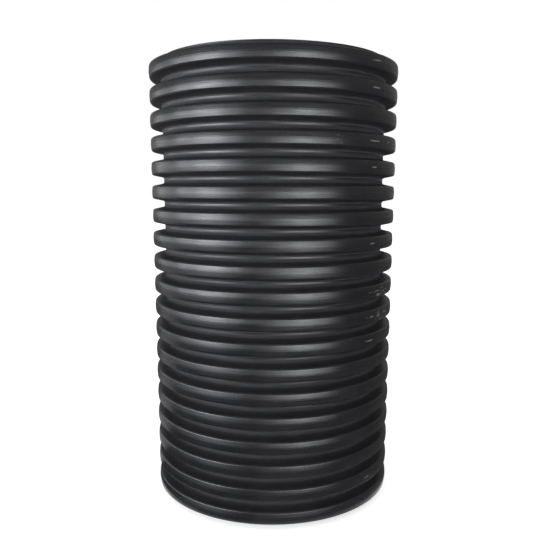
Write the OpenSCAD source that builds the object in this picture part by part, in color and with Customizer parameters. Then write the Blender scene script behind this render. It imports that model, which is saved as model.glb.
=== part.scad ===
// Riser for a plastic access chamber: one length of corrugated twin-wall pipe that stands on end.
// The outer wall is a row of ring corrugations, the inner wall is a smooth bore, and the two are
// fused in every valley, so that each crest encloses a sealed ring chamber.
// Both ends are sawn square through the middle of a valley. All sizes are in millimetres.

/* [Shaft] */
// Clear diameter of the smooth bore
bore_d = 300; // [100:1:600]
// Number of corrugations along the riser, which sets its length
corrugations = 19; // [3:1:40]
// Thickness of the fused wall in the valleys and at the sawn ends
valley_wall = 3; // [2:0.1:6]
// Thickness of the inner wall under each chamber
liner_wall = 1.6; // [1:0.1:4]

/* [Corrugation] */
// Height of the crests above the valleys
wave_depth = 17; // [12:0.5:26]
// Width of a crest at half its height
crest_w = 20.4; // [16:0.1:30]
// Width of a valley at half the height of the crests
valley_w = 11.2; // [10:0.1:24]
// Slope of the flanks away from square to the axis, in degrees
flank_draft = 12; // [6:0.5:18]
// Width of the straight land along the ridge of a crest
land_w = 1.5; // [1:0.5:6]
// Radius of the blunt ridge on either side of the land
ridge_r = 8; // [6:1:20]
// Slope of the two faces of a crest where they leave the ridge, in degrees
ridge_slope = 3.5; // [2:0.25:5]
// Radius of the gentle crown of each face
crown_r = 90; // [60:5:140]
// Radius where the crown turns down into the flank
corner_r = 3.25; // [3:0.25:6]
// Radius where the flank runs out into the valley
valley_r = 2.5; // [0.75:0.25:3.5]

/* [Chamber] */
// Thickness of the outer wall round a chamber
crest_wall = 2.2; // [1:0.1:2.8]
// Radius where a chamber's side meets the inner wall
root_r = 2; // [0.5:0.25:4]

/* [Hidden] */

// Main radii from the axis
bore_radius = bore_d / 2;
floor_radius = bore_radius + valley_wall;
crest_radius = floor_radius + wave_depth;
liner_radius = bore_radius + liner_wall;

// Pitch of the corrugations and length of the whole riser
pitch = crest_w + valley_w;
riser_len = corrugations * pitch;

// Straight steps in each rounded stretch of the section, and in a full turn
ridge_steps = 1;
crown_steps = 1;
corner_steps = 4;
valley_steps = 3;
root_steps = 2;
turn_steps = 180;

plastic_black = [0.075, 0.075, 0.08];

// Section points are [distance from the axis, height above the middle of the crest].
// The flank passes through this point at half height, square to this outward normal.
flank_mid = [floor_radius + wave_depth / 2, crest_w / 2];
flank_turn = 90 - flank_draft;
flank_normal = [cos(flank_turn), sin(flank_turn)];

// The ridge is tangent to the land, and the crown to the end of the ridge.
// The corner is tangent to the crown inside it and to the flank.
ridge_centre = [crest_radius - ridge_r, land_w / 2];
crown_centre = ridge_centre - (crown_r - ridge_r) * [cos(ridge_slope), sin(ridge_slope)];
crown_reach = (flank_mid - crown_centre) * flank_normal;
crown_turn = asin((crown_reach - corner_r) / (crown_r - corner_r)) - flank_draft;
corner_centre = crown_centre + (crown_r - corner_r) * [cos(crown_turn), sin(crown_turn)];

// Heights of the arc centres that touch the flank from outside and the chamber's side from inside
valley_centre = beside_flank(floor_radius + valley_r, valley_r);
root_centre = beside_flank(liner_radius + root_r, -crest_wall - root_r);

// Height of the middle of crest number k above the foot
function crest_z(k) = (k + 0.5) * pitch;

// Point at a given radius that lies a given distance outside the flank
function beside_flank(radius, out) =
    let (rise = (out - (radius - flank_mid[0]) * flank_normal[0]) / flank_normal[1])
    [radius, flank_mid[1] + rise];

// Points along an arc, with its first point left out where the stretch before it ends there
function arc(centre, radius, from, to, steps, first = 0) = [
    for (i = [first : steps])
        let (turn = from + (to - from) * i / steps)
        centre + radius * [cos(turn), sin(turn)]
];

// Upper half of a crest, from the end of its land to the end of its corner, inset by a wall
function half_crest(inset) = concat(
    arc(ridge_centre, ridge_r - inset, 0, ridge_slope, ridge_steps),
    arc(crown_centre, crown_r - inset, ridge_slope, crown_turn, crown_steps, 1),
    arc(corner_centre, corner_r - inset, crown_turn, flank_turn, corner_steps, 1)
);

// Upper half of one corrugation, down to the valley floor
function half_wave() = concat(
    half_crest(0),
    arc(valley_centre, valley_r, flank_turn + 180, 180, valley_steps)
);

// Upper half of the ring chamber under a crest, down to the inner wall
function half_chamber() = concat(
    half_crest(crest_wall),
    arc(root_centre, root_r, flank_turn, 180, root_steps)
);

// A half section and its mirror image, from bottom to top round the given height
function both_halves(half, height) = concat(
    [for (i = [len(half) - 1 : -1 : 0]) [half[i][0], height - half[i][1]]],
    [for (point = half) [point[0], height + point[1]]]
);

// Section of the wall: up the outside from the foot, and back down the bore
function wall_section() = concat(
    [[bore_radius, 0], [floor_radius, 0]],
    [for (k = [0 : corrugations - 1]) each both_halves(half_wave(), crest_z(k))],
    [[floor_radius, riser_len], [bore_radius, riser_len]]
);

module chamber() {
    rotate_extrude($fn = turn_steps) polygon(both_halves(half_chamber(), 0));
}

module riser() {
    color(plastic_black) difference() {
        rotate_extrude($fn = turn_steps) polygon(wall_section());
        for (k = [0 : corrugations - 1]) translate([0, 0, crest_z(k)]) chamber();
    }
}

riser();
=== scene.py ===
"""Looks of a plastic access chamber riser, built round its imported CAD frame.

The riser is one length of black corrugated twin-wall pipe that stands on end. Its skin is one closed
surface: the section of the wall turned about the axis, with the small faults that moulding, sawing and
handling leave. Turns about the axis are measured from the front, which faces the camera, towards +X.
All lengths are in metres and all angles in radians, unless a name says degrees.
"""

import logging
import math
from dataclasses import dataclass
from enum import Enum, IntEnum
from typing import ClassVar

import bpy
import numpy as np
from mathutils import Matrix, Vector


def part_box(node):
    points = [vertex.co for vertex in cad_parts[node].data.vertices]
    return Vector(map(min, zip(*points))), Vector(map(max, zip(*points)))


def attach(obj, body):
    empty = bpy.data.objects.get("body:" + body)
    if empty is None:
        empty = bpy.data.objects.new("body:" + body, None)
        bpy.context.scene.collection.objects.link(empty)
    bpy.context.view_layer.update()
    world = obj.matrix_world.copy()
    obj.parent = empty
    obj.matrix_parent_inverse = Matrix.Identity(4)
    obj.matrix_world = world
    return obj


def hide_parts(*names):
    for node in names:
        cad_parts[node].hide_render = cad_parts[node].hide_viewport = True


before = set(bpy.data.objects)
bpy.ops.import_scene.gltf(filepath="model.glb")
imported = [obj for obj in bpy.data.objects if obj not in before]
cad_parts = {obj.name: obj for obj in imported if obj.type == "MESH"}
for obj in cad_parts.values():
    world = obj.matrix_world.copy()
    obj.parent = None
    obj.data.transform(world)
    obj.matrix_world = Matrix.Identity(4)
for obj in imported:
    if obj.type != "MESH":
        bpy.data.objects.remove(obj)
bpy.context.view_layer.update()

log = logging.getLogger("riser")

MM = 0.001
NODE = "riser"
BODY = "root"

Colour = tuple[float, float, float]
Values = np.ndarray | float
Socket = bpy.types.NodeSocket
Sockets = bpy.types.bpy_prop_collection
Feed = Socket | float | tuple[float, ...]
Feeds = dict[str | int, Feed]

WHITE = (1.0, 1.0, 1.0, 1.0)

# Rows of section points are radius, height and lean: these turn them over and lift them.
UPSIDE_DOWN = np.array([1.0, -1.0, -1.0])
UPWARDS = np.array([0.0, 1.0, 0.0])


class Zone(IntEnum):
    """Parts of the skin, numbered as the material slots are."""

    MOULDED = 0
    SAWN = 1
    BORE = 2


class Flow(Enum):
    """Ways that fine streaks run over a surface, as scales of the place that they are read at."""

    ROUND_RINGS = (13.0, 13.0, 330.0)
    DOWN_BORE = (330.0, 330.0, 5.0)
    ACROSS_CUT = (30.0, 1500.0, 30.0)


class Mark(Enum):
    """Numbers that the skin carries at each of its points, for the finishes to read."""

    RUN = "section_run"
    SCUFF = "scuff_and_glint_density"
    SETTLE = "dust_and_painted_fill"
    GRIME = "corner_grime"


@dataclass(frozen=True)
class Stretch:
    """A run of section points that share one finish.

    Each row of points is radius, height and lean, where lean is how far the outward normal points above
    level.
    """

    points: np.ndarray
    zone: Zone

    def turned_over(self, length: float) -> "Stretch":
        """Give the same stretch at the other end of a wall of that length, run the other way."""
        flipped = self.points[::-1] * UPSIDE_DOWN + length * UPWARDS
        return Stretch(flipped, self.zone)


def arc(centre: np.ndarray, bend: float, start: float, end: float, steps: int) -> np.ndarray:
    """Work out section points along an arc: the centre plus the bend radius times the normal.

    Args:
        centre: Radius and height of the arc's centre.
        bend: Radius of the arc, negative where the surface is hollow.
        start: Lean of the normal at the first point.
        end: Lean of the normal at the last point.
        steps: Number of straight steps.

    Returns:
        Rows of radius, height and lean.
    """
    lean = np.linspace(start, end, steps + 1)
    return np.column_stack([centre[0] + bend * np.cos(lean), centre[1] + bend * np.sin(lean), lean])


def round_axis(turns: Values, reach: Values, height: Values) -> np.ndarray:
    """Give the points at turns from the front, distances from the axis and heights."""
    places = np.broadcast_arrays(reach * np.sin(turns), -reach * np.cos(turns), height)
    return np.stack(places, axis=-1)


@dataclass(frozen=True)
class WallSection:
    """Section of the riser's wall, with the sizes that the CAD solid has."""

    crest_radius: float
    length: float
    corrugations: int = 19
    wave_depth: float = 17 * MM
    valley_wall: float = 3 * MM
    crest_width: float = 20.4 * MM
    flank_draft: float = math.radians(12)
    land_width: float = 1.5 * MM
    ridge_radius: float = 8 * MM
    ridge_slope: float = math.radians(3.5)
    crown_radius: float = 90 * MM
    corner_radius: float = 3.25 * MM
    valley_radius: float = 2.5 * MM
    saw_bevel: float = 0.4 * MM
    liner_ripple: float = 0.25 * MM
    ridge_steps: int = 2
    crown_steps: int = 1
    corner_steps: int = 5
    valley_steps: int = 3
    liner_steps: int = 3
    cut_steps: int = 2

    @property
    def pitch(self) -> float:
        """Give the height of one corrugation."""
        return self.length / self.corrugations

    @property
    def floor_radius(self) -> float:
        """Give the radius of the valley floors."""
        return self.crest_radius - self.wave_depth

    @property
    def bore_radius(self) -> float:
        """Give the radius of the clear bore."""
        return self.floor_radius - self.valley_wall

    def half_wave(self) -> np.ndarray:
        """Work out the upper half of one corrugation, from the middle of its crest to the valley.

        A straight land runs into a blunt ridge, the ridge into a gentle crown, the crown into a tight
        corner, the corner into a straight flank and the flank into a hollow fillet on the valley floor.
        Each is tangent to the next. The crown's centre lies on the radius at the ridge's end and the
        corner's on the crown's own radius. The fillet's lies its radius outside the flank and above the
        floor.

        Returns:
            Rows of radius, height above the middle of the crest, and lean.
        """
        slope = math.pi / 2 - self.flank_draft
        normal = np.array([math.cos(slope), math.sin(slope)])
        middle = np.array([self.floor_radius + self.wave_depth / 2, self.crest_width / 2])
        ridge = np.array([self.crest_radius - self.ridge_radius, self.land_width / 2])
        lean = np.array([math.cos(self.ridge_slope), math.sin(self.ridge_slope)])
        crown = ridge - (self.crown_radius - self.ridge_radius) * lean
        spare = self.crown_radius - self.corner_radius
        turn = math.asin(((middle - crown) @ normal - self.corner_radius) / spare) - self.flank_draft
        corner = crown + spare * np.array([math.cos(turn), math.sin(turn)])
        hollow_radius = self.floor_radius + self.valley_radius
        rise = (self.valley_radius - (hollow_radius - middle[0]) * normal[0]) / normal[1]
        hollow = np.array([hollow_radius, middle[1] + rise])
        return np.concatenate(
            [
                arc(ridge, self.ridge_radius, 0.0, self.ridge_slope, self.ridge_steps),
                arc(crown, self.crown_radius, self.ridge_slope, turn, self.crown_steps)[1:],
                arc(corner, self.corner_radius, turn, slope, self.corner_steps)[1:],
                arc(hollow, -self.valley_radius, slope, 0.0, self.valley_steps),
            ]
        )

    def outside(self) -> Stretch:
        """Work out the corrugated outside: one wave and its mirror image, repeated up the wall.

        Returns:
            The stretch from the foot to the rim.
        """
        upper = self.half_wave()
        wave = np.concatenate([upper[::-1] * UPSIDE_DOWN, upper])
        lift = (np.arange(self.corrugations) + 0.5) * self.pitch
        waves = wave[None] + lift[:, None, None] * UPWARDS
        foot = [[self.floor_radius, self.saw_bevel, 0.0]]
        rim = [[self.floor_radius, self.length - self.saw_bevel, 0.0]]
        return Stretch(np.concatenate([foot, waves.reshape(-1, 3), rim]), Zone.MOULDED)

    def liner(self) -> Stretch:
        """Work out the smooth bore, which draws out a little behind each crest as the wall cools.

        The radius grows by half the ripple times one less the cosine of a turn for each corrugation.

        Returns:
            The stretch from the rim down to the foot.
        """
        height = np.linspace(
            self.length - self.saw_bevel, self.saw_bevel, self.corrugations * self.liner_steps + 1
        )
        turn = 2 * math.pi * height / self.pitch
        radius = self.bore_radius + self.liner_ripple / 2 * (1 - np.cos(turn))
        slope = self.liner_ripple * math.pi / self.pitch * np.sin(turn)
        return Stretch(np.column_stack([radius, height, math.pi - np.arctan(slope)]), Zone.BORE)

    def rim_cut(self) -> list[Stretch]:
        """Work out the sawn end at the rim: a flat face between two small bevels.

        Returns:
            The stretches from the outside to the bore.
        """
        bevel = self.saw_bevel
        inner, outer = self.bore_radius, self.floor_radius
        face_radius = np.linspace(outer - bevel, inner + bevel, self.cut_steps + 1)
        corners = [
            ([outer, outer - bevel], [self.length - bevel, self.length], math.pi / 4),
            (face_radius, np.full_like(face_radius, self.length), math.pi / 2),
            ([inner + bevel, inner], [self.length, self.length - bevel], 3 * math.pi / 4),
        ]
        return [
            Stretch(np.column_stack([radius, height, np.full(len(radius), lean)]), Zone.SAWN)
            for radius, height, lean in corners
        ]

    def loop(self) -> list[Stretch]:
        """Join the whole section: up the outside, over the rim, down the bore and under the foot.

        Returns:
            The stretches in that order, each of which starts where the one before it ends.
        """
        rim = self.rim_cut()
        foot = [stretch.turned_over(self.length) for stretch in reversed(rim)]
        return [self.outside(), *rim, self.liner(), *foot]


@dataclass(frozen=True)
class MouldSeam:
    """The two lines where the halves of the mould met, opposite each other along the riser.

    On each crest a small raised nib lies on either side of each line, where the mould draws air out.
    """

    turn_degrees: float = 54.0
    nib_degrees: float = 6.0
    nib_height: float = 0.28 * MM
    nib_length: float = 9.0 * MM
    low_nib: float = 0.45
    ridge_height: float = 0.22 * MM
    ridge_width: float = 0.9 * MM
    half_step: float = 0.10 * MM
    column_offsets: tuple[float, ...] = (
        -1.8 * MM,
        -1.0 * MM,
        -0.45 * MM,
        0.0,
        0.45 * MM,
        1.0 * MM,
        1.8 * MM,
    )

    @property
    def turns(self) -> np.ndarray:
        """Give the turns of both lines."""
        return np.radians(self.turn_degrees) + np.array([0.0, math.pi])

    @staticmethod
    def bells(turns: np.ndarray, middles: np.ndarray, width: float) -> np.ndarray:
        """Give the sum of bell curves round some middles, of a width measured as a turn."""
        away = np.angle(np.exp(1j * (turns[:, None] - middles)))
        return np.exp(-((away / width) ** 2)).sum(axis=1)

    def nibs(self, turns: np.ndarray, radius: float) -> np.ndarray:
        """Work out how far the nibs stand up, on the rows that have nibs.

        Each nib has the shape of a bell curve, tall on one side of the line and low on the other.

        Args:
            turns: Turns of the skin's columns.
            radius: Radius that lengths along the surface are measured at.

        Returns:
            Height of the nibs for each column.
        """
        width = self.nib_length / radius
        beside = math.radians(self.nib_degrees)
        tall = self.bells(turns, self.turns - beside, width)
        low = self.bells(turns, self.turns + beside, width)
        return self.nib_height * (tall + self.low_nib * low)

    def relief(self, turns: np.ndarray, radius: float) -> np.ndarray:
        """Work out how far the seams raise the surface.

        A ridge with the shape of a bell curve stands on each line, and the half of the skin between the
        lines lies a small step lower, by half of one plus the smoothed sign of the sine of the turn.

        Args:
            turns: Turns of the skin's columns.
            radius: Radius that widths along the surface are measured at.

        Returns:
            Height of the relief for each column.
        """
        ridge = self.ridge_height * self.bells(turns, self.turns, self.ridge_width / radius)
        side = np.tanh(np.sin(turns - self.turns[0]) * radius / self.ridge_width)
        return ridge - self.half_step * (1 + side) / 2


@dataclass(frozen=True)
class ScuffAndGlintPatch:
    """A place on the skin that has rubbed against something, painted with light scratches that also
    stand in for glints.
    """

    turn_degrees: float
    height: float
    spread_degrees: float
    spread_height: float
    strength: float

    def density(self, turns: np.ndarray, heights: np.ndarray) -> np.ndarray:
        """Work out how thick the scuffs lie: a bell curve over turn and height.

        Args:
            turns: Turns of the skin's columns.
            heights: Heights of the skin's rows.

        Returns:
            A density for each row and column.
        """
        away = np.degrees(np.angle(np.exp(1j * (turns - math.radians(self.turn_degrees)))))
        across = np.exp(-((away / self.spread_degrees) ** 2) / 2)
        along = np.exp(-(((heights - self.height) / self.spread_height) ** 2) / 2)
        return self.strength * along[:, None] * across


# Scuffed patches, painted lighter as scratches and as glints. Turn in degrees, height, spread in
# degrees, spread in height and strength
SCUFFS_AND_GLINTS = (
    ScuffAndGlintPatch(58.0, 292 * MM, 8.0, 13 * MM, 1.00),
    ScuffAndGlintPatch(56.0, 263 * MM, 8.0, 11 * MM, 0.82),
    ScuffAndGlintPatch(39.0, 251 * MM, 4.0, 8 * MM, 0.90),
    ScuffAndGlintPatch(45.0, 475 * MM, 6.0, 9 * MM, 0.80),
    ScuffAndGlintPatch(-1.0, 586 * MM, 5.0, 7 * MM, 0.60),
    ScuffAndGlintPatch(-13.0, 400 * MM, 7.0, 7 * MM, 0.60),
    ScuffAndGlintPatch(13.0, 553 * MM, 4.0, 7 * MM, 0.65),
    ScuffAndGlintPatch(27.0, 490 * MM, 5.0, 8 * MM, 0.65),
    ScuffAndGlintPatch(-63.0, 500 * MM, 6.0, 60 * MM, 0.40),
    ScuffAndGlintPatch(-118.0, 190 * MM, 9.0, 40 * MM, 0.65),
    ScuffAndGlintPatch(-160.0, 430 * MM, 8.0, 30 * MM, 0.60),
    ScuffAndGlintPatch(150.0, 110 * MM, 9.0, 30 * MM, 0.65),
    ScuffAndGlintPatch(118.0, 470 * MM, 7.0, 50 * MM, 0.60),
)


@dataclass
class RiserSkin:
    """The visible skin of the riser, as one closed surface that stands for the CAD solid."""

    section: WallSection
    seam: MouldSeam
    scuffs_and_glints: tuple[ScuffAndGlintPatch, ...]
    name: str = "riser_skin"
    even_columns: int = 150
    seed: int = 19
    wander_orders: int = 7
    wander_out: float = 0.09 * MM
    wander_up: float = 0.12 * MM
    ring_lean: float = math.radians(0.9)
    out_of_round: float = 0.35 * MM
    out_of_round_degrees: float = 35.0
    saw_wave: float = 0.20 * MM
    scuff_floor: float = 0.16
    scuff_ceiling: float = 3.0
    # Lighter dashes painted on the nibs of some rings: rubbed wear, and painted glints of a narrow
    # light.
    nib_rub_and_glint: float = 2.0
    wear_seed: int = 3447
    grime_share: float = 0.12
    grime_dust: float = 0.68
    # The next two shares lay the pale dust colour on the flanks: dust on the upward flank above each
    # crest, and on both flanks painted fill light, fullest on the downward flank under each crest,
    # which is in shade.
    upper_dust_and_fill: float = 0.70
    under_bloom_and_fill: float = 1.00
    thin_dust: float = 0.10
    scuff_power: int = 2
    clean_power: int = 4

    def __post_init__(self) -> None:
        """Join the section's stretches into rows and strips that close on themselves."""
        loop = self.section.loop()
        rows = np.concatenate([stretch.points[:-1] for stretch in loop])
        self.row_radius, self.row_height, self.lean_from = rows.T
        self.lean_to = np.concatenate([stretch.points[1:, 2] for stretch in loop])
        self.zone = np.concatenate([np.full(len(part.points) - 1, int(part.zone)) for part in loop])
        share = (self.row_radius - self.section.floor_radius) / self.section.wave_depth
        self.crest = np.clip(share, 0.0, 1.0)
        rings = self.section.corrugations
        self.ring = np.clip(self.row_height // self.section.pitch, 0, rings - 1).astype(int)
        self.above_crest = self.row_height - (self.ring + 0.5) * self.section.pitch
        self.nib_rows = np.isclose(self.crest, 1.0) & (self.lean_from == 0.0)
        self.turns = self.columns()

    def columns(self) -> np.ndarray:
        """Work out the turns of the columns: even all round, and closer together across the seams.

        Returns:
            The turns, from the smallest up.
        """
        even = np.linspace(0.0, 2 * math.pi, self.even_columns, endpoint=False)
        close = np.array(self.seam.column_offsets) / self.section.crest_radius
        extra = (self.seam.turns[:, None] + close).ravel()
        return np.unique(np.concatenate([even, extra % (2 * math.pi)]))

    def wander(self, rng: np.random.Generator, rings: int, size: float) -> np.ndarray:
        """Work out the slow unevenness of each ring as a sum of whole cosine waves round it.

        Args:
            rng: Source of the seeded numbers.
            rings: Number of rings.
            size: Size of the longest wave. Shorter ones shrink with their order.

        Returns:
            An offset for each ring and column.
        """
        order = np.arange(1, self.wander_orders + 1)
        level = rng.normal(0.0, size, (rings, len(order))) / order
        phase = rng.uniform(0.0, 2 * math.pi, (rings, len(order)))
        waves = np.cos(order[None, :, None] * self.turns + phase[:, :, None])
        return np.einsum("ro,rot->rt", level, waves)

    def surface(self) -> tuple[np.ndarray, np.ndarray, np.ndarray]:
        """Work out the skin's radius and height at each row and column.

        Each row is the section's own radius and height. Crests wander outwards and upwards and lean a
        little, never past the CAD solid's box. All rows go slightly out of round, by half of one plus
        the cosine of twice the turn. The seams and nibs stand on the outside, and the sawn ends dip
        into the wall.

        Returns:
            Radius and height, each with a row for each section point, and how far the leaning and the
            nibs tip the normal of each strip between two rows.
        """
        rng = np.random.default_rng(self.seed)
        rings = self.section.corrugations
        out = self.wander(rng, rings, self.wander_out)
        up = self.wander(rng, rings, self.wander_up)
        dips = np.abs(self.wander(rng, 2, self.saw_wave))
        lean = self.wander(rng, rings, self.ring_lean)
        crest = self.crest[:, None]
        from_oval = self.turns - math.radians(self.out_of_round_degrees)
        oval = self.out_of_round * (1 + np.cos(2 * from_oval)) / 2
        seams = self.seam.relief(self.turns, self.section.crest_radius)
        nibs = self.nib_rows[:, None] * self.seam.nibs(self.turns, self.section.crest_radius)
        lift = crest * lean[self.ring] * self.above_crest[:, None] + nibs
        radius = self.row_radius[:, None] - oval + crest * ((out - out.max())[self.ring] + seams) + lift
        at_foot = self.row_height <= self.section.saw_bevel
        at_rim = self.row_height >= self.section.length - self.section.saw_bevel
        height = self.row_height[:, None] + crest * up[self.ring]
        height += at_foot[:, None] * dips[0] - at_rim[:, None] * dips[1]
        tip = np.arctan((np.roll(lift, -1, axis=0) - lift) / self.strip_width()[:, None])
        return radius, height, tip

    def strip_width(self) -> np.ndarray:
        """Give the width of the strip above each row, along the section."""
        radius_step = np.roll(self.row_radius, -1) - self.row_radius
        return np.hypot(radius_step, np.roll(self.row_height, -1) - self.row_height)

    def around(self, values: np.ndarray) -> np.ndarray:
        """Work out how fast values change with the turn, by differences that close on themselves.

        Args:
            values: A value for each row and column.

        Returns:
            The change for each radian, at each row and column.
        """
        full = 2 * math.pi
        turns = np.concatenate([self.turns[-1:] - full, self.turns, self.turns[:1] + full])
        wrapped = np.concatenate([values[:, -1:], values, values[:, :1]], axis=1)
        return np.gradient(wrapped, turns, axis=1)[:, 1:-1]

    def normals(self, radius: np.ndarray, height: np.ndarray, lean: np.ndarray) -> np.ndarray:
        """Work out surface normals: the section's normal, tipped round by the slope along the row.

        Args:
            radius: Radius at each row and column.
            height: Height at each row and column.
            lean: Lean of the section's normal at each row and column.

        Returns:
            A unit vector for each row and column.
        """
        level, rise = np.cos(lean), np.sin(lean)
        tip = -(self.around(radius) * level + self.around(height) * rise) / radius
        sine, cosine = np.sin(self.turns), np.cos(self.turns)
        vectors = np.stack([level * sine + tip * cosine, -level * cosine + tip * sine, rise], axis=-1)
        return vectors / np.linalg.norm(vectors, axis=-1, keepdims=True)

    def section_run(self) -> np.ndarray:
        """Give the distance of each row along the section, from the foot."""
        return np.concatenate([[0.0], np.cumsum(self.strip_width()[:-1])])

    def scuff_and_glint_density(self) -> np.ndarray:
        """Work out the density of scuffs and painted glints: all of it on the crests, most on the nibs
        of some rings, whose light dashes are painted glints as well as rubbed wear.

        Returns:
            A density for each row and column.
        """
        # Painted glints: light dashes on the nibs of some rings, as well as rubbed wear.
        nib_wear_and_glint = np.random.default_rng(self.wear_seed).uniform(0.0, 1.0, self.section.corrugations)
        nib_wear_and_glint = self.nib_rub_and_glint * nib_wear_and_glint[self.ring] * self.nib_rows
        patches = sum(patch.density(self.turns, self.row_height) for patch in self.scuffs_and_glints)
        nibs = self.seam.nibs(self.turns, self.section.crest_radius) / self.seam.nib_height
        density = self.scuff_floor + patches + nib_wear_and_glint[:, None] * nibs
        return np.clip(density, 0.0, self.scuff_ceiling) * self.crest[:, None] ** self.scuff_power

    def corner_grime(self) -> np.ndarray:
        """Find the rows where the lower flank of a groove meets the valley floor.

        Returns:
            1 for each such row and 0 for the others.
        """
        in_groove = (self.above_crest > 0) & (self.ring < self.section.corrugations - 1)
        low = (self.zone == Zone.MOULDED) & (self.crest < self.grime_share)
        return (in_groove & low).astype(float)

    def dust_and_painted_fill(self) -> np.ndarray:
        """Work out how thick dust and painted fill light lie at each row.

        It lies on both flanks of a groove, as a settled layer or a dull bloom, and in the grime of its
        lower corner. On both flanks, fullest on the downward flank under each crest where shade falls,
        its pale colour is also painted fill light. The valley floor and the bore keep their gloss, and
        crests are rubbed clean.

        Returns:
            A share for each row.
        """
        # Painted fill light: the pale dust colour lies on both flanks, fullest on the shaded flank
        # under each crest.
        flanks = np.where(self.above_crest > 0, self.upper_dust_and_fill, self.under_bloom_and_fill)
        steep = (self.zone == Zone.MOULDED) & (self.lean_from != 0)
        dust_and_fill = np.where(steep, flanks, self.thin_dust)
        dust_and_fill = np.where(self.corner_grime() > 0, self.grime_dust, dust_and_fill)
        return dust_and_fill * (1 - self.crest**self.clean_power)

    def build(self) -> bpy.types.Object:
        """Make the skin's mesh, with quads between neighbouring rows and columns, closed both ways.

        Returns:
            The skin's object, riding on the CAD body in place of the CAD node.
        """
        radius, height, tip = self.surface()
        points = round_axis(self.turns, radius, height)
        rows, columns = radius.shape
        index = np.arange(rows * columns).reshape(rows, columns)
        above = np.roll(index, -1, axis=0)
        beside = np.roll(index, -1, axis=1)
        quads = np.stack([index, beside, np.roll(above, -1, axis=1), above], axis=-1)
        low = self.normals(radius, height, self.lean_from[:, None] - tip)
        next_radius, next_height = np.roll(radius, -1, axis=0), np.roll(height, -1, axis=0)
        high = self.normals(next_radius, next_height, self.lean_to[:, None] - tip)
        corners = np.stack([low, np.roll(low, -1, axis=1), np.roll(high, -1, axis=1), high], axis=2)
        mesh = quad_mesh(self.name, points.reshape(-1, 3), quads.reshape(-1, 4))
        mesh.polygons.foreach_set("material_index", np.repeat(self.zone, columns).astype(np.int32))
        mesh.normals_split_custom_set(corners.reshape(-1, 3))
        self.carry(mesh, Mark.RUN, np.repeat(self.section_run(), columns))
        self.carry(mesh, Mark.SCUFF, self.scuff_and_glint_density().ravel())
        self.carry(mesh, Mark.SETTLE, np.repeat(self.dust_and_painted_fill(), columns))
        self.carry(mesh, Mark.GRIME, np.repeat(self.corner_grime(), columns))
        skin = bpy.data.objects.new(self.name, mesh)
        bpy.context.scene.collection.objects.link(skin)
        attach(skin, BODY)
        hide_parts(NODE)
        return skin

    @staticmethod
    def carry(mesh: bpy.types.Mesh, mark: Mark, values: np.ndarray) -> None:
        """Store one number for each point of a mesh."""
        layer = mesh.attributes.new(mark.value, "FLOAT", "POINT")
        layer.data.foreach_set("value", values.astype(np.float32))

    @staticmethod
    def dress(skin: bpy.types.Object, finishes: dict[Zone, bpy.types.Material]) -> None:
        """Put the finishes into the skin's slots, in the order of the zones."""
        for zone in Zone:
            skin.data.materials.append(finishes[zone])


def quad_mesh(name: str, points: np.ndarray, quads: np.ndarray) -> bpy.types.Mesh:
    """Make a smooth mesh from arrays.

    Args:
        name: Name of the mesh.
        points: Place of each point.
        quads: Four point numbers for each face, counter-clockwise from outside.

    Returns:
        The mesh.
    """
    mesh = bpy.data.meshes.new(name)
    mesh.vertices.add(len(points))
    mesh.vertices.foreach_set("co", points.astype(np.float32).ravel())
    mesh.loops.add(quads.size)
    mesh.loops.foreach_set("vertex_index", quads.astype(np.int32).ravel())
    mesh.polygons.add(len(quads))
    mesh.polygons.foreach_set("loop_start", np.arange(0, quads.size, 4, dtype=np.int32))
    mesh.polygons.foreach_set("use_smooth", np.ones(len(quads), dtype=bool))
    mesh.update(calc_edges=True)
    return mesh


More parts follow.
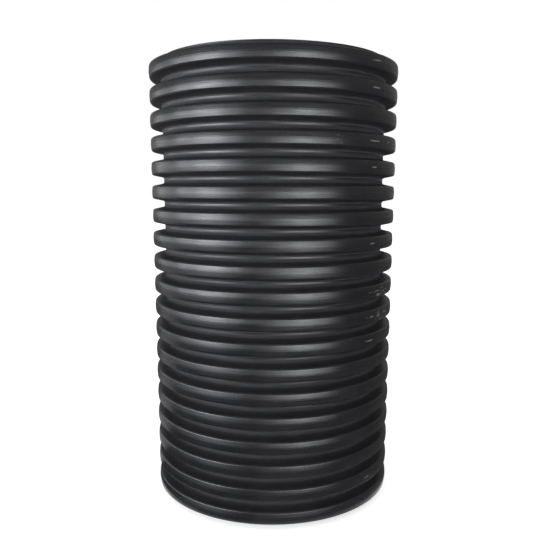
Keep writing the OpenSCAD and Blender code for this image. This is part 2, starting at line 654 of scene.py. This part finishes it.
class NodeSheet:
    """Adds nodes to one node tree and joins their sockets."""

    column_width: ClassVar[int] = 190

    def __init__(self, tree: bpy.types.NodeTree) -> None:
        """Start on a tree, emptied of what Blender put there."""
        self.tree = tree
        tree.nodes.clear()

    def add(self, kind: str, feeds: Feeds | None = None, **settings: object) -> bpy.types.Node:
        """Add a node.

        Args:
            kind: Type of the node.
            feeds: What goes into its sockets: another node's socket, or a plain value.
            settings: The node's own settings.

        Returns:
            The node.
        """
        node = self.tree.nodes.new(kind)
        node.location.x = self.column_width * len(self.tree.nodes)
        for name, value in settings.items():
            setattr(node, name, value)
        for name, feed in (feeds or {}).items():
            self.feed(node.inputs[name], feed)
        return node

    def feed(self, socket: Socket, feed: Feed) -> None:
        """Link a socket to another, or set its value.

        Args:
            socket: The socket that is fed.
            feed: Another node's socket, or a plain value.
        """
        if isinstance(feed, Socket):
            self.tree.links.new(feed, socket)
        else:
            socket.default_value = feed

    def math(self, operation: str, *feeds: Feed) -> Socket:
        """Add a calculation with one or more values."""
        return self.add("ShaderNodeMath", dict(enumerate(feeds)), operation=operation).outputs[0]

    def vector_math(self, operation: str, *feeds: Feed) -> Socket:
        """Add a calculation with one or more vectors."""
        return self.add("ShaderNodeVectorMath", dict(enumerate(feeds)), operation=operation).outputs[0]

    def noise(self, place: Feed, scale: Feed, detail: float, roughness: float) -> Socket:
        """Add a noise texture and give its value."""
        feeds = {"Vector": place, "Scale": scale, "Detail": detail, "Roughness": roughness}
        return self.add("ShaderNodeTexNoise", feeds).outputs[0]

    def ramp(self, value: Feed, start: Feed, end: Feed) -> Socket:
        """Add a smooth ramp from 0 at start to 1 at end."""
        feeds = {"Value": value, "From Min": start, "From Max": end}
        return self.add("ShaderNodeMapRange", feeds, interpolation_type="SMOOTHSTEP").outputs[0]

    def blend(self, share: Feed, first: Feed, second: Feed) -> Socket:
        """Add a mix of two colours.

        Args:
            share: Share of the second colour.
            first: The first colour.
            second: The second colour.

        Returns:
            The mixed colour.
        """
        node = self.add("ShaderNodeMix", data_type="RGBA")
        colours = [socket for socket in node.inputs if socket.type == "RGBA"]
        self.feed(node.inputs[0], share)
        self.feed(colours[0], first)
        self.feed(colours[1], second)
        return next(socket for socket in node.outputs if socket.type == "RGBA")

    def mark(self, mark: Mark) -> Socket:
        """Add a reading of one of the skin's numbers."""
        return self.add("ShaderNodeAttribute", attribute_name=mark.value).outputs["Fac"]


class SurfaceEffect:
    """A node group that more than one finish uses."""

    title: ClassVar[str] = ""
    takes: ClassVar[dict[str, str]] = {}
    gives: ClassVar[tuple[str, ...]] = ()

    def __init__(self) -> None:
        """Make the group's sockets and fill it."""
        self.tree = bpy.data.node_groups.new(self.title, "ShaderNodeTree")
        for name, kind in self.takes.items():
            self.tree.interface.new_socket(name=name, in_out="INPUT", socket_type=kind)
        for name in self.gives:
            self.tree.interface.new_socket(name=name, in_out="OUTPUT", socket_type="NodeSocketFloat")
        sheet = NodeSheet(self.tree)
        entry = sheet.add("NodeGroupInput").outputs
        results = self.fill(sheet, entry)
        sheet.add("NodeGroupOutput", dict(zip(self.gives, results)))

    def fill(self, sheet: NodeSheet, entry: Sockets) -> tuple[Socket, ...]:
        """Add the group's nodes and give its results, in the order of its outputs."""
        raise NotImplementedError

    def place(self, sheet: NodeSheet, feeds: Feeds) -> Sockets:
        """Add the group to a finish.

        Args:
            sheet: The finish's nodes.
            feeds: What goes into the group's inputs.

        Returns:
            The group's outputs.
        """
        return sheet.add("ShaderNodeGroup", feeds, node_tree=self.tree).outputs


class Streaks(SurfaceEffect):
    """Fine streaks that the mould, the mandrel or the saw draws: noise stretched one way."""

    title = "drawn_streaks"
    takes = {"Place": "NodeSocketVector", "Stretch": "NodeSocketVector"}
    gives = ("Streak",)
    fine_scale = 3.1
    fine_share = 0.45
    ramp_start = 0.30
    ramp_end = 0.70

    def fill(self, sheet: NodeSheet, entry: Sockets) -> tuple[Socket, ...]:
        """Add a broad and a fine layer of stretched noise, and sharpen their sum.

        Args:
            sheet: The group's nodes.
            entry: The group's inputs.

        Returns:
            The streaks, from 0 to 1.
        """
        place = sheet.vector_math("MULTIPLY", entry["Place"], entry["Stretch"])
        broad = sheet.noise(place, scale=1.0, detail=3.0, roughness=0.55)
        fine = sheet.noise(place, scale=self.fine_scale, detail=2.0, roughness=0.5)
        broad = sheet.math("MULTIPLY", broad, 1.0 - self.fine_share)
        both = sheet.math("MULTIPLY_ADD", fine, self.fine_share, broad)
        return (sheet.ramp(both, self.ramp_start, self.ramp_end),)


class MouldGrain(SurfaceEffect):
    """Slow mottling and fine grain of a moulded face."""

    title = "mould_grain"
    takes = {"Place": "NodeSocketVector", "Grain Scale": "NodeSocketFloat"}
    gives = ("Mottle", "Grain")
    mottle_scale = 22.0
    ramp_start = 0.30
    ramp_end = 0.70

    def fill(self, sheet: NodeSheet, entry: Sockets) -> tuple[Socket, ...]:
        """Add one slow and one fine noise.

        Args:
            sheet: The group's nodes.
            entry: The group's inputs.

        Returns:
            The mottling and the grain.
        """
        mottle = sheet.noise(entry["Place"], scale=self.mottle_scale, detail=4.0, roughness=0.6)
        grain = sheet.noise(entry["Place"], scale=entry["Grain Scale"], detail=2.0, roughness=0.55)
        return sheet.ramp(mottle, self.ramp_start, self.ramp_end), grain


class ScuffsAndGlints(SurfaceEffect):
    """Short rubbed lines and specks, painted lighter as wear and as glints, thicker where the density
    is higher.
    """

    title = "scuffs_and_glints"
    takes = {"Place": "NodeSocketVector", "Density": "NodeSocketFloat"}
    gives = ("Rub And Glint",)
    line_stretch = (85.0, 85.0, 450.0)
    speck_scale = 420.0
    speck_share = 0.2
    sparse = 0.80
    dense = 0.52
    edge = 0.07

    def fill(self, sheet: NodeSheet, entry: Sockets) -> tuple[Socket, ...]:
        """Add lines and specks of noise, cut off at a level that falls with the density.

        Args:
            sheet: The group's nodes.
            entry: The group's inputs.

        Returns:
            How far each place is rubbed or painted with a glint, faded where the density is below 1.
        """
        along = sheet.vector_math("MULTIPLY", entry["Place"], self.line_stretch)
        lines = sheet.noise(along, scale=1.0, detail=3.0, roughness=0.6)
        specks = sheet.noise(entry["Place"], scale=self.speck_scale, detail=2.0, roughness=0.5)
        lines = sheet.math("MULTIPLY", lines, 1.0 - self.speck_share)
        pattern = sheet.math("MULTIPLY_ADD", specks, self.speck_share, lines)
        fall = sheet.math("MULTIPLY", entry["Density"], self.sparse - self.dense)
        start = sheet.math("SUBTRACT", self.sparse, fall)
        rub_and_glint = sheet.ramp(pattern, start, sheet.math("ADD", start, self.edge))
        return (sheet.math("MULTIPLY", rub_and_glint, sheet.math("MINIMUM", entry["Density"], 1.0)),)


class DustAndFill(SurfaceEffect):
    """Dry dust that stays where nothing rubs it off, laid with painted fill light on the flanks of
    grooves.
    """

    title = "dust_and_fill"
    takes = {"Place": "NodeSocketVector", "Dust And Fill": "NodeSocketFloat"}
    gives = ("Film",)
    cloud_scale = 38.0
    even_film = 0.65
    settle_power = 2.0
    ramp_start = 0.35
    ramp_end = 0.70

    def fill(self, sheet: NodeSheet, entry: Sockets) -> tuple[Socket, ...]:
        """Add clouds of noise over an even film, both by the square of how far dust and painted fill
        light lie.

        Args:
            sheet: The group's nodes.
            entry: The group's inputs.

        Returns:
            The thickness of the film, from 0 to 1.
        """
        clouds = sheet.noise(entry["Place"], scale=self.cloud_scale, detail=5.0, roughness=0.65)
        clouds = sheet.ramp(clouds, self.ramp_start, self.ramp_end)
        cover = sheet.math("MULTIPLY_ADD", clouds, 1.0 - self.even_film, self.even_film)
        laid = sheet.math("POWER", entry["Dust And Fill"], self.settle_power)
        return (sheet.math("MULTIPLY", cover, laid),)


@dataclass(frozen=True)
class Effects:
    """The node groups that the finishes share."""

    streaks: Streaks
    grain: MouldGrain
    scuffs_and_glints: ScuffsAndGlints
    dust_and_fill: DustAndFill


@dataclass(frozen=True)
class BlackPlastic:
    """Satin black polyethylene, with the marks that one way of working it leaves."""

    name: str
    flow: Flow
    deep: Colour
    pale: Colour
    roughness: float
    streak_gloss: float
    streak_depth: float
    grain_scale: float
    grain_depth: float
    dust_and_fill_share: float
    scuff_and_glint_share: float
    # Pale dust colour, which also paints fill light on the flanks of the grooves.
    dust_and_fill_colour: Colour = (0.066, 0.0655, 0.0715)
    # Light grey of scratches, which also paints glints on the nibs and scuffed patches.
    scuff_and_glint_colour: Colour = (0.150, 0.150, 0.154)
    dull_roughness: float = 1.00
    grime_edge: float = 2.2
    scuff_roughness: float = 0.20
    scuff_depth: float = 0.25
    relief: float = 0.05 * MM
    refraction: float = 1.5

    def place(self, sheet: NodeSheet) -> Socket:
        """Give the place that patterns are read at.

        On the rings the height is swapped for the distance along the section, so that streaks keep
        their width over the flanks.

        Args:
            sheet: The finish's nodes.

        Returns:
            The place as a vector.
        """
        spot = sheet.add("ShaderNodeTexCoord").outputs["Object"]
        if self.flow is not Flow.ROUND_RINGS:
            return spot
        parts = sheet.add("ShaderNodeSeparateXYZ", {0: spot}).outputs
        along = {0: parts[0], 1: parts[1], 2: sheet.mark(Mark.RUN)}
        return sheet.add("ShaderNodeCombineXYZ", along).outputs[0]

    def material(self, effects: Effects) -> bpy.types.Material:
        """Make the material.

        Args:
            effects: The shared node groups.

        Returns:
            The material.
        """
        material = bpy.data.materials.new(self.name)
        material.use_nodes = True
        sheet = NodeSheet(material.node_tree)
        place = self.place(sheet)
        streak = effects.streaks.place(sheet, {"Place": place, "Stretch": self.flow.value})["Streak"]
        grain = effects.grain.place(sheet, {"Place": place, "Grain Scale": self.grain_scale})
        rub_and_glint = effects.scuffs_and_glints.place(sheet, {"Place": place, "Density": sheet.mark(Mark.SCUFF)})["Rub And Glint"]
        film = effects.dust_and_fill.place(sheet, {"Place": place, "Dust And Fill": sheet.mark(Mark.SETTLE)})["Film"]
        rub_and_glint = sheet.math("MULTIPLY", rub_and_glint, self.scuff_and_glint_share)
        film = sheet.math("MULTIPLY", film, self.dust_and_fill_share)

        colour = sheet.blend(grain["Mottle"], (*self.deep, 1.0), (*self.pale, 1.0))
        # Blend in the pale dust colour: dust, and painted fill light on the groove flanks.
        colour = sheet.blend(film, colour, (*self.dust_and_fill_colour, 1.0))
        # Blend in the light scuff colour: scuffed wear, and painted glints on the nibs and patches.
        colour = sheet.blend(rub_and_glint, colour, (*self.scuff_and_glint_colour, 1.0))

        level = self.roughness - self.streak_gloss / 2
        rough = sheet.math("MULTIPLY_ADD", streak, self.streak_gloss, level)
        grime = sheet.math("POWER", sheet.mark(Mark.GRIME), self.grime_edge)
        dull = sheet.math("MAXIMUM", film, grime)
        rough = sheet.math("MULTIPLY_ADD", dull, self.dull_roughness - self.roughness, rough)
        rough = sheet.math("MULTIPLY_ADD", rub_and_glint, self.scuff_roughness, rough)

        height = sheet.math("MULTIPLY", streak, self.streak_depth)
        height = sheet.math("MULTIPLY_ADD", grain["Grain"], self.grain_depth, height)
        height = sheet.math("MULTIPLY_ADD", rub_and_glint, -self.scuff_depth, height)
        bump = sheet.add("ShaderNodeBump", {"Strength": 1.0, "Distance": self.relief, "Height": height})

        shader = sheet.add(
            "ShaderNodeBsdfPrincipled",
            {
                "Base Color": colour,
                "Roughness": rough,
                "IOR": self.refraction,
                "Normal": bump.outputs[0],
            },
        )
        sheet.add("ShaderNodeOutputMaterial", {"Surface": shader.outputs[0]})
        return material


FINISHES = {
    Zone.MOULDED: BlackPlastic(
        name="moulded_black",
        flow=Flow.ROUND_RINGS,
        deep=(0.0085, 0.0084, 0.0097),
        pale=(0.0124, 0.0123, 0.0140),
        roughness=0.28,
        streak_gloss=0.12,
        streak_depth=0.50,
        grain_scale=620.0,
        grain_depth=0.20,
        # Share of the dust colour, partly painted fill light on the groove flanks.
        dust_and_fill_share=0.95,
        # Share of the scuff colour, partly painted glints.
        scuff_and_glint_share=0.80,
    ),
    Zone.SAWN: BlackPlastic(
        name="sawn_black",
        flow=Flow.ACROSS_CUT,
        deep=(0.012, 0.012, 0.013),
        pale=(0.026, 0.026, 0.027),
        roughness=0.55,
        streak_gloss=0.12,
        streak_depth=1.30,
        grain_scale=900.0,
        grain_depth=0.60,
        dust_and_fill_share=0.30,
        scuff_and_glint_share=0.0,
    ),
    Zone.BORE: BlackPlastic(
        name="drawn_black",
        flow=Flow.DOWN_BORE,
        deep=(0.0110, 0.0110, 0.0115),
        pale=(0.0170, 0.0170, 0.0178),
        roughness=0.28,
        streak_gloss=0.08,
        streak_depth=0.40,
        grain_scale=420.0,
        grain_depth=0.15,
        dust_and_fill_share=0.22,
        scuff_and_glint_share=0.0,
    ),
}


@dataclass(frozen=True)
class SoftBox:
    """A plain rectangular studio light that faces the riser's axis."""

    name: str
    turn_degrees: float
    reach: float
    height: float
    width: float
    tall: float
    glow: float
    tint: Colour = (1.0, 1.0, 1.0)
    watts_per_glow: float = 4.0
    aim_height: float = 0.36

    def build(self) -> bpy.types.Object:
        """Make the light, which the camera itself doesn't see.

        Returns:
            The light's object.
        """
        lamp = bpy.data.lights.new(self.name, "AREA")
        lamp.shape = "RECTANGLE"
        lamp.size = self.width
        lamp.size_y = self.tall
        lamp.color = self.tint
        lamp.energy = self.watts_per_glow * self.glow * self.width * self.tall
        light = bpy.data.objects.new(self.name, lamp)
        light.location = round_axis(math.radians(self.turn_degrees), self.reach, self.height)
        aim = Vector((0.0, 0.0, self.aim_height)) - light.location
        light.rotation_euler = aim.to_track_quat("-Z", "Y").to_euler()
        light.visible_camera = False
        bpy.context.scene.collection.objects.link(light)
        return light


@dataclass(frozen=True)
class Card:
    """A plain grey card that keeps white glare out of the riser's gloss, seen by reflections alone.

    Its profile, in pairs of distance from the axis and height, is carried round the axis.
    """

    name: str
    from_degrees: float
    to_degrees: float
    profile: tuple[tuple[float, float], ...]
    grey: float
    shiny: bool = False
    shine_roughness: float = 0.12
    steps: int = 36

    def build(self) -> bpy.types.Object:
        """Make the card: each profile point at each turn.

        Returns:
            The card's object.
        """
        turns = np.radians(np.linspace(self.from_degrees, self.to_degrees, self.steps + 1))[:, None]
        reach, height = np.array(self.profile).T
        points = round_axis(turns, reach, height)
        index = np.arange(points.size // 3).reshape(points.shape[:2])
        quads = np.stack([index[:-1, :-1], index[:-1, 1:], index[1:, 1:], index[1:, :-1]], axis=-1)
        mesh = quad_mesh(self.name, points.reshape(-1, 3), quads.reshape(-1, 4))
        mesh.materials.append(self.material())
        card = bpy.data.objects.new(self.name, mesh)
        card.visible_camera = False
        card.visible_diffuse = False
        card.visible_shadow = False
        bpy.context.scene.collection.objects.link(card)
        return card

    def material(self) -> bpy.types.Material:
        """Make the card's plain grey, or a polished grey that mirrors the lights.

        Returns:
            The material.
        """
        material = bpy.data.materials.new(self.name)
        material.use_nodes = True
        sheet = NodeSheet(material.node_tree)
        colour = (self.grey, self.grey, self.grey, 1.0)
        if self.shiny:
            shine = {"Color": colour, "Roughness": self.shine_roughness}
            face = sheet.add("ShaderNodeBsdfGlossy", shine)
        else:
            face = sheet.add("ShaderNodeEmission", {"Color": colour})
        sheet.add("ShaderNodeOutputMaterial", {"Surface": face.outputs[0]})
        return material


@dataclass(frozen=True)
class Studio:
    """Plain pale floor, white surroundings, soft lights and grey cards."""

    lights: tuple[SoftBox, ...]
    cards: tuple[Card, ...]
    floor_radius: float = 14.0
    floor_hole: float = 1 * MM
    floor_drop: float = 0.3 * MM
    floor_colour: Colour = (0.90, 0.90, 0.90)
    floor_top_up: float = 0.60
    ambient: float = 0.68
    floor_rings: int = 12
    floor_columns: int = 48

    @staticmethod
    def seen(sheet: NodeSheet) -> Socket:
        """Tell what the camera sees, straight, in gloss or through glass, from other light.

        Args:
            sheet: Nodes of the floor or of the surroundings.

        Returns:
            1 for what is seen and 0 for other light.
        """
        rays = sheet.add("ShaderNodeLightPath").outputs
        mirrored = sheet.math("MAXIMUM", rays["Is Glossy Ray"], rays["Is Transmission Ray"])
        return sheet.math("MAXIMUM", rays["Is Camera Ray"], mirrored)

    def build_world(self) -> None:
        """Make surroundings that look white and light the riser softly from all round."""
        world = bpy.data.worlds.new("studio_white")
        world.use_nodes = True
        sheet = NodeSheet(world.node_tree)
        soft = sheet.add("ShaderNodeBackground", {"Color": WHITE, "Strength": self.ambient})
        white = sheet.add("ShaderNodeBackground", {"Color": WHITE, "Strength": 1.0})
        feeds = {0: self.seen(sheet), 1: soft.outputs[0], 2: white.outputs[0]}
        both = sheet.add("ShaderNodeMixShader", feeds)
        sheet.add("ShaderNodeOutputWorld", {"Surface": both.outputs[0]})
        bpy.context.scene.world = world

    def build_floor(self) -> bpy.types.Object:
        """Make the floor as a disc: rings whose radius grows with the square of their number.

        Returns:
            The floor's object, which isn't part of the riser.
        """
        share = np.linspace(0.0, 1.0, self.floor_rings + 1)[1:]
        turns = np.linspace(0.0, 2 * math.pi, self.floor_columns, endpoint=False)
        reach = np.concatenate([[self.floor_hole], self.floor_radius * share**2])
        points = round_axis(turns, reach[:, None], -self.floor_drop)
        index = np.arange(points.size // 3).reshape(points.shape[:2])
        side = np.roll(index, -1, axis=1)
        quads = np.stack([index[:-1], index[1:], side[1:], side[:-1]], axis=-1)
        mesh = quad_mesh("floor", points.reshape(-1, 3), quads.reshape(-1, 4))
        mesh.materials.append(self.floor_material())
        floor = bpy.data.objects.new("floor", mesh)
        bpy.context.scene.collection.objects.link(floor)
        return floor

    def floor_material(self) -> bpy.types.Material:
        """Make the floor's matt paint, topped up to white where it is seen, so that only shade shows.

        Returns:
            The material.
        """
        material = bpy.data.materials.new("floor_white")
        material.use_nodes = True
        sheet = NodeSheet(material.node_tree)
        paint = sheet.add("ShaderNodeBsdfDiffuse", {"Color": (*self.floor_colour, 1.0)})
        top_up = sheet.math("MULTIPLY", self.seen(sheet), self.floor_top_up)
        glow = sheet.add("ShaderNodeEmission", {"Color": WHITE, "Strength": top_up})
        both = sheet.add("ShaderNodeAddShader", {0: paint.outputs[0], 1: glow.outputs[0]})
        sheet.add("ShaderNodeOutputMaterial", {"Surface": both.outputs[0]})
        return material

    def build(self) -> None:
        """Make the floor, the surroundings, the lights and the cards."""
        self.build_floor()
        self.build_world()
        for item in (*self.lights, *self.cards):
            log.info("studio: %s", item.build().name)


CLEAR_SKY = (0.92, 0.95, 1.0)
PALE_SKY = (0.95, 0.96, 1.0)

# Name, turn in degrees, reach, height, width, tall, glow and tint
LIGHTS = (
    SoftBox("window_left", -58.0, 5.0, 0.75, 2.22, 1.50, 5.0, CLEAR_SKY),
    SoftBox("window_left_wide", -62.0, 5.1, 0.75, 6.60, 1.50, 4.2, CLEAR_SKY),
    SoftBox("window_left_rear", -112.0, 5.1, 0.60, 3.40, 1.20, 0.7, CLEAR_SKY),
    SoftBox("window_right", 27.0, 5.0, 0.52, 1.67, 1.04, 3.2, PALE_SKY),
    SoftBox("window_right_wide", 28.0, 5.1, 0.52, 4.70, 1.04, 2.8, PALE_SKY),
    SoftBox("window_front", -8.0, 5.2, 0.52, 3.64, 1.04, 0.72, PALE_SKY),
)

# Profiles of the cards, as distances from the axis and heights
FLOOR_CARD = ((0.18, 0.5 * MM), (8.0, 0.5 * MM))
WALL_CARD = ((6.8, 0.0), (6.8, 1.6))
DOME_CARD = ((7.0, 1.4), (6.0, 3.6), (3.4, 5.6), (0.01, 6.4))

# Name, first and last turn in degrees, profile and grey
CARDS = (
    Card("card_overhead", 0.0, 360.0, DOME_CARD, 0.24),
    Card("card_floor", 76.0, 232.0, FLOOR_CARD, 0.12),
    Card("card_floor_left", 232.0, 262.0, FLOOR_CARD, 0.45),
    Card("card_polished_left", 262.0, 350.0, FLOOR_CARD, 0.13, shiny=True),
    Card("card_polished_right", -10.0, 76.0, FLOOR_CARD, 0.78, shiny=True),
    Card("card_right", 62.0, 142.0, WALL_CARD, 0.18),
    Card("card_rear", 142.0, 225.0, WALL_CARD, 0.26),
)


@dataclass(frozen=True)
class PhotoCamera:
    """The camera, where a fit to the rings of the photographed riser puts it."""

    lens_mm: float = 41.58
    sensor_mm: float = 36.0
    distance: float = 0.9275
    eye_height: float = 0.4279
    pitch_degrees: float = 9.99
    pan_degrees: float = 0.396
    roll_degrees: float = 0.195
    shift_up: float = 0.0487

    def build(self) -> bpy.types.Object:
        """Make the camera and set it as the scene's own.

        Returns:
            The camera's object.
        """
        optics = bpy.data.cameras.new("photo_camera")
        optics.lens = self.lens_mm
        optics.sensor_width = self.sensor_mm
        optics.shift_y = self.shift_up
        camera = bpy.data.objects.new("photo_camera", optics)
        pan = Matrix.Rotation(-math.radians(self.pan_degrees), 4, "Z")
        tilt = Matrix.Rotation(math.pi / 2 - math.radians(self.pitch_degrees), 4, "X")
        roll = Matrix.Rotation(math.radians(self.roll_degrees), 4, "Z")
        place = Matrix.Translation((0.0, -self.distance, self.eye_height))
        camera.matrix_world = place @ pan @ tilt @ roll
        bpy.context.scene.collection.objects.link(camera)
        bpy.context.scene.camera = camera
        return camera


def main() -> None:
    """Build the riser's skin, dress it, and set it in the studio before the camera."""
    logging.basicConfig(level=logging.INFO, format="%(name)s: %(message)s")
    bpy.context.scene.view_settings.view_transform = "Standard"
    log.info("camera: %s", PhotoCamera().build().name)
    low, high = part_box(NODE)
    section = WallSection(crest_radius=high.x, length=high.z - low.z)
    effects = Effects(Streaks(), MouldGrain(), ScuffsAndGlints(), DustAndFill())
    finishes = {zone: finish.material(effects) for zone, finish in FINISHES.items()}
    riser = RiserSkin(section, MouldSeam(), SCUFFS_AND_GLINTS)
    skin = riser.build()
    riser.dress(skin, finishes)
    log.info("piece: %s, %d faces", skin.name, len(skin.data.polygons))
    Studio(LIGHTS, CARDS).build()


if __name__ == "__main__":
    main()
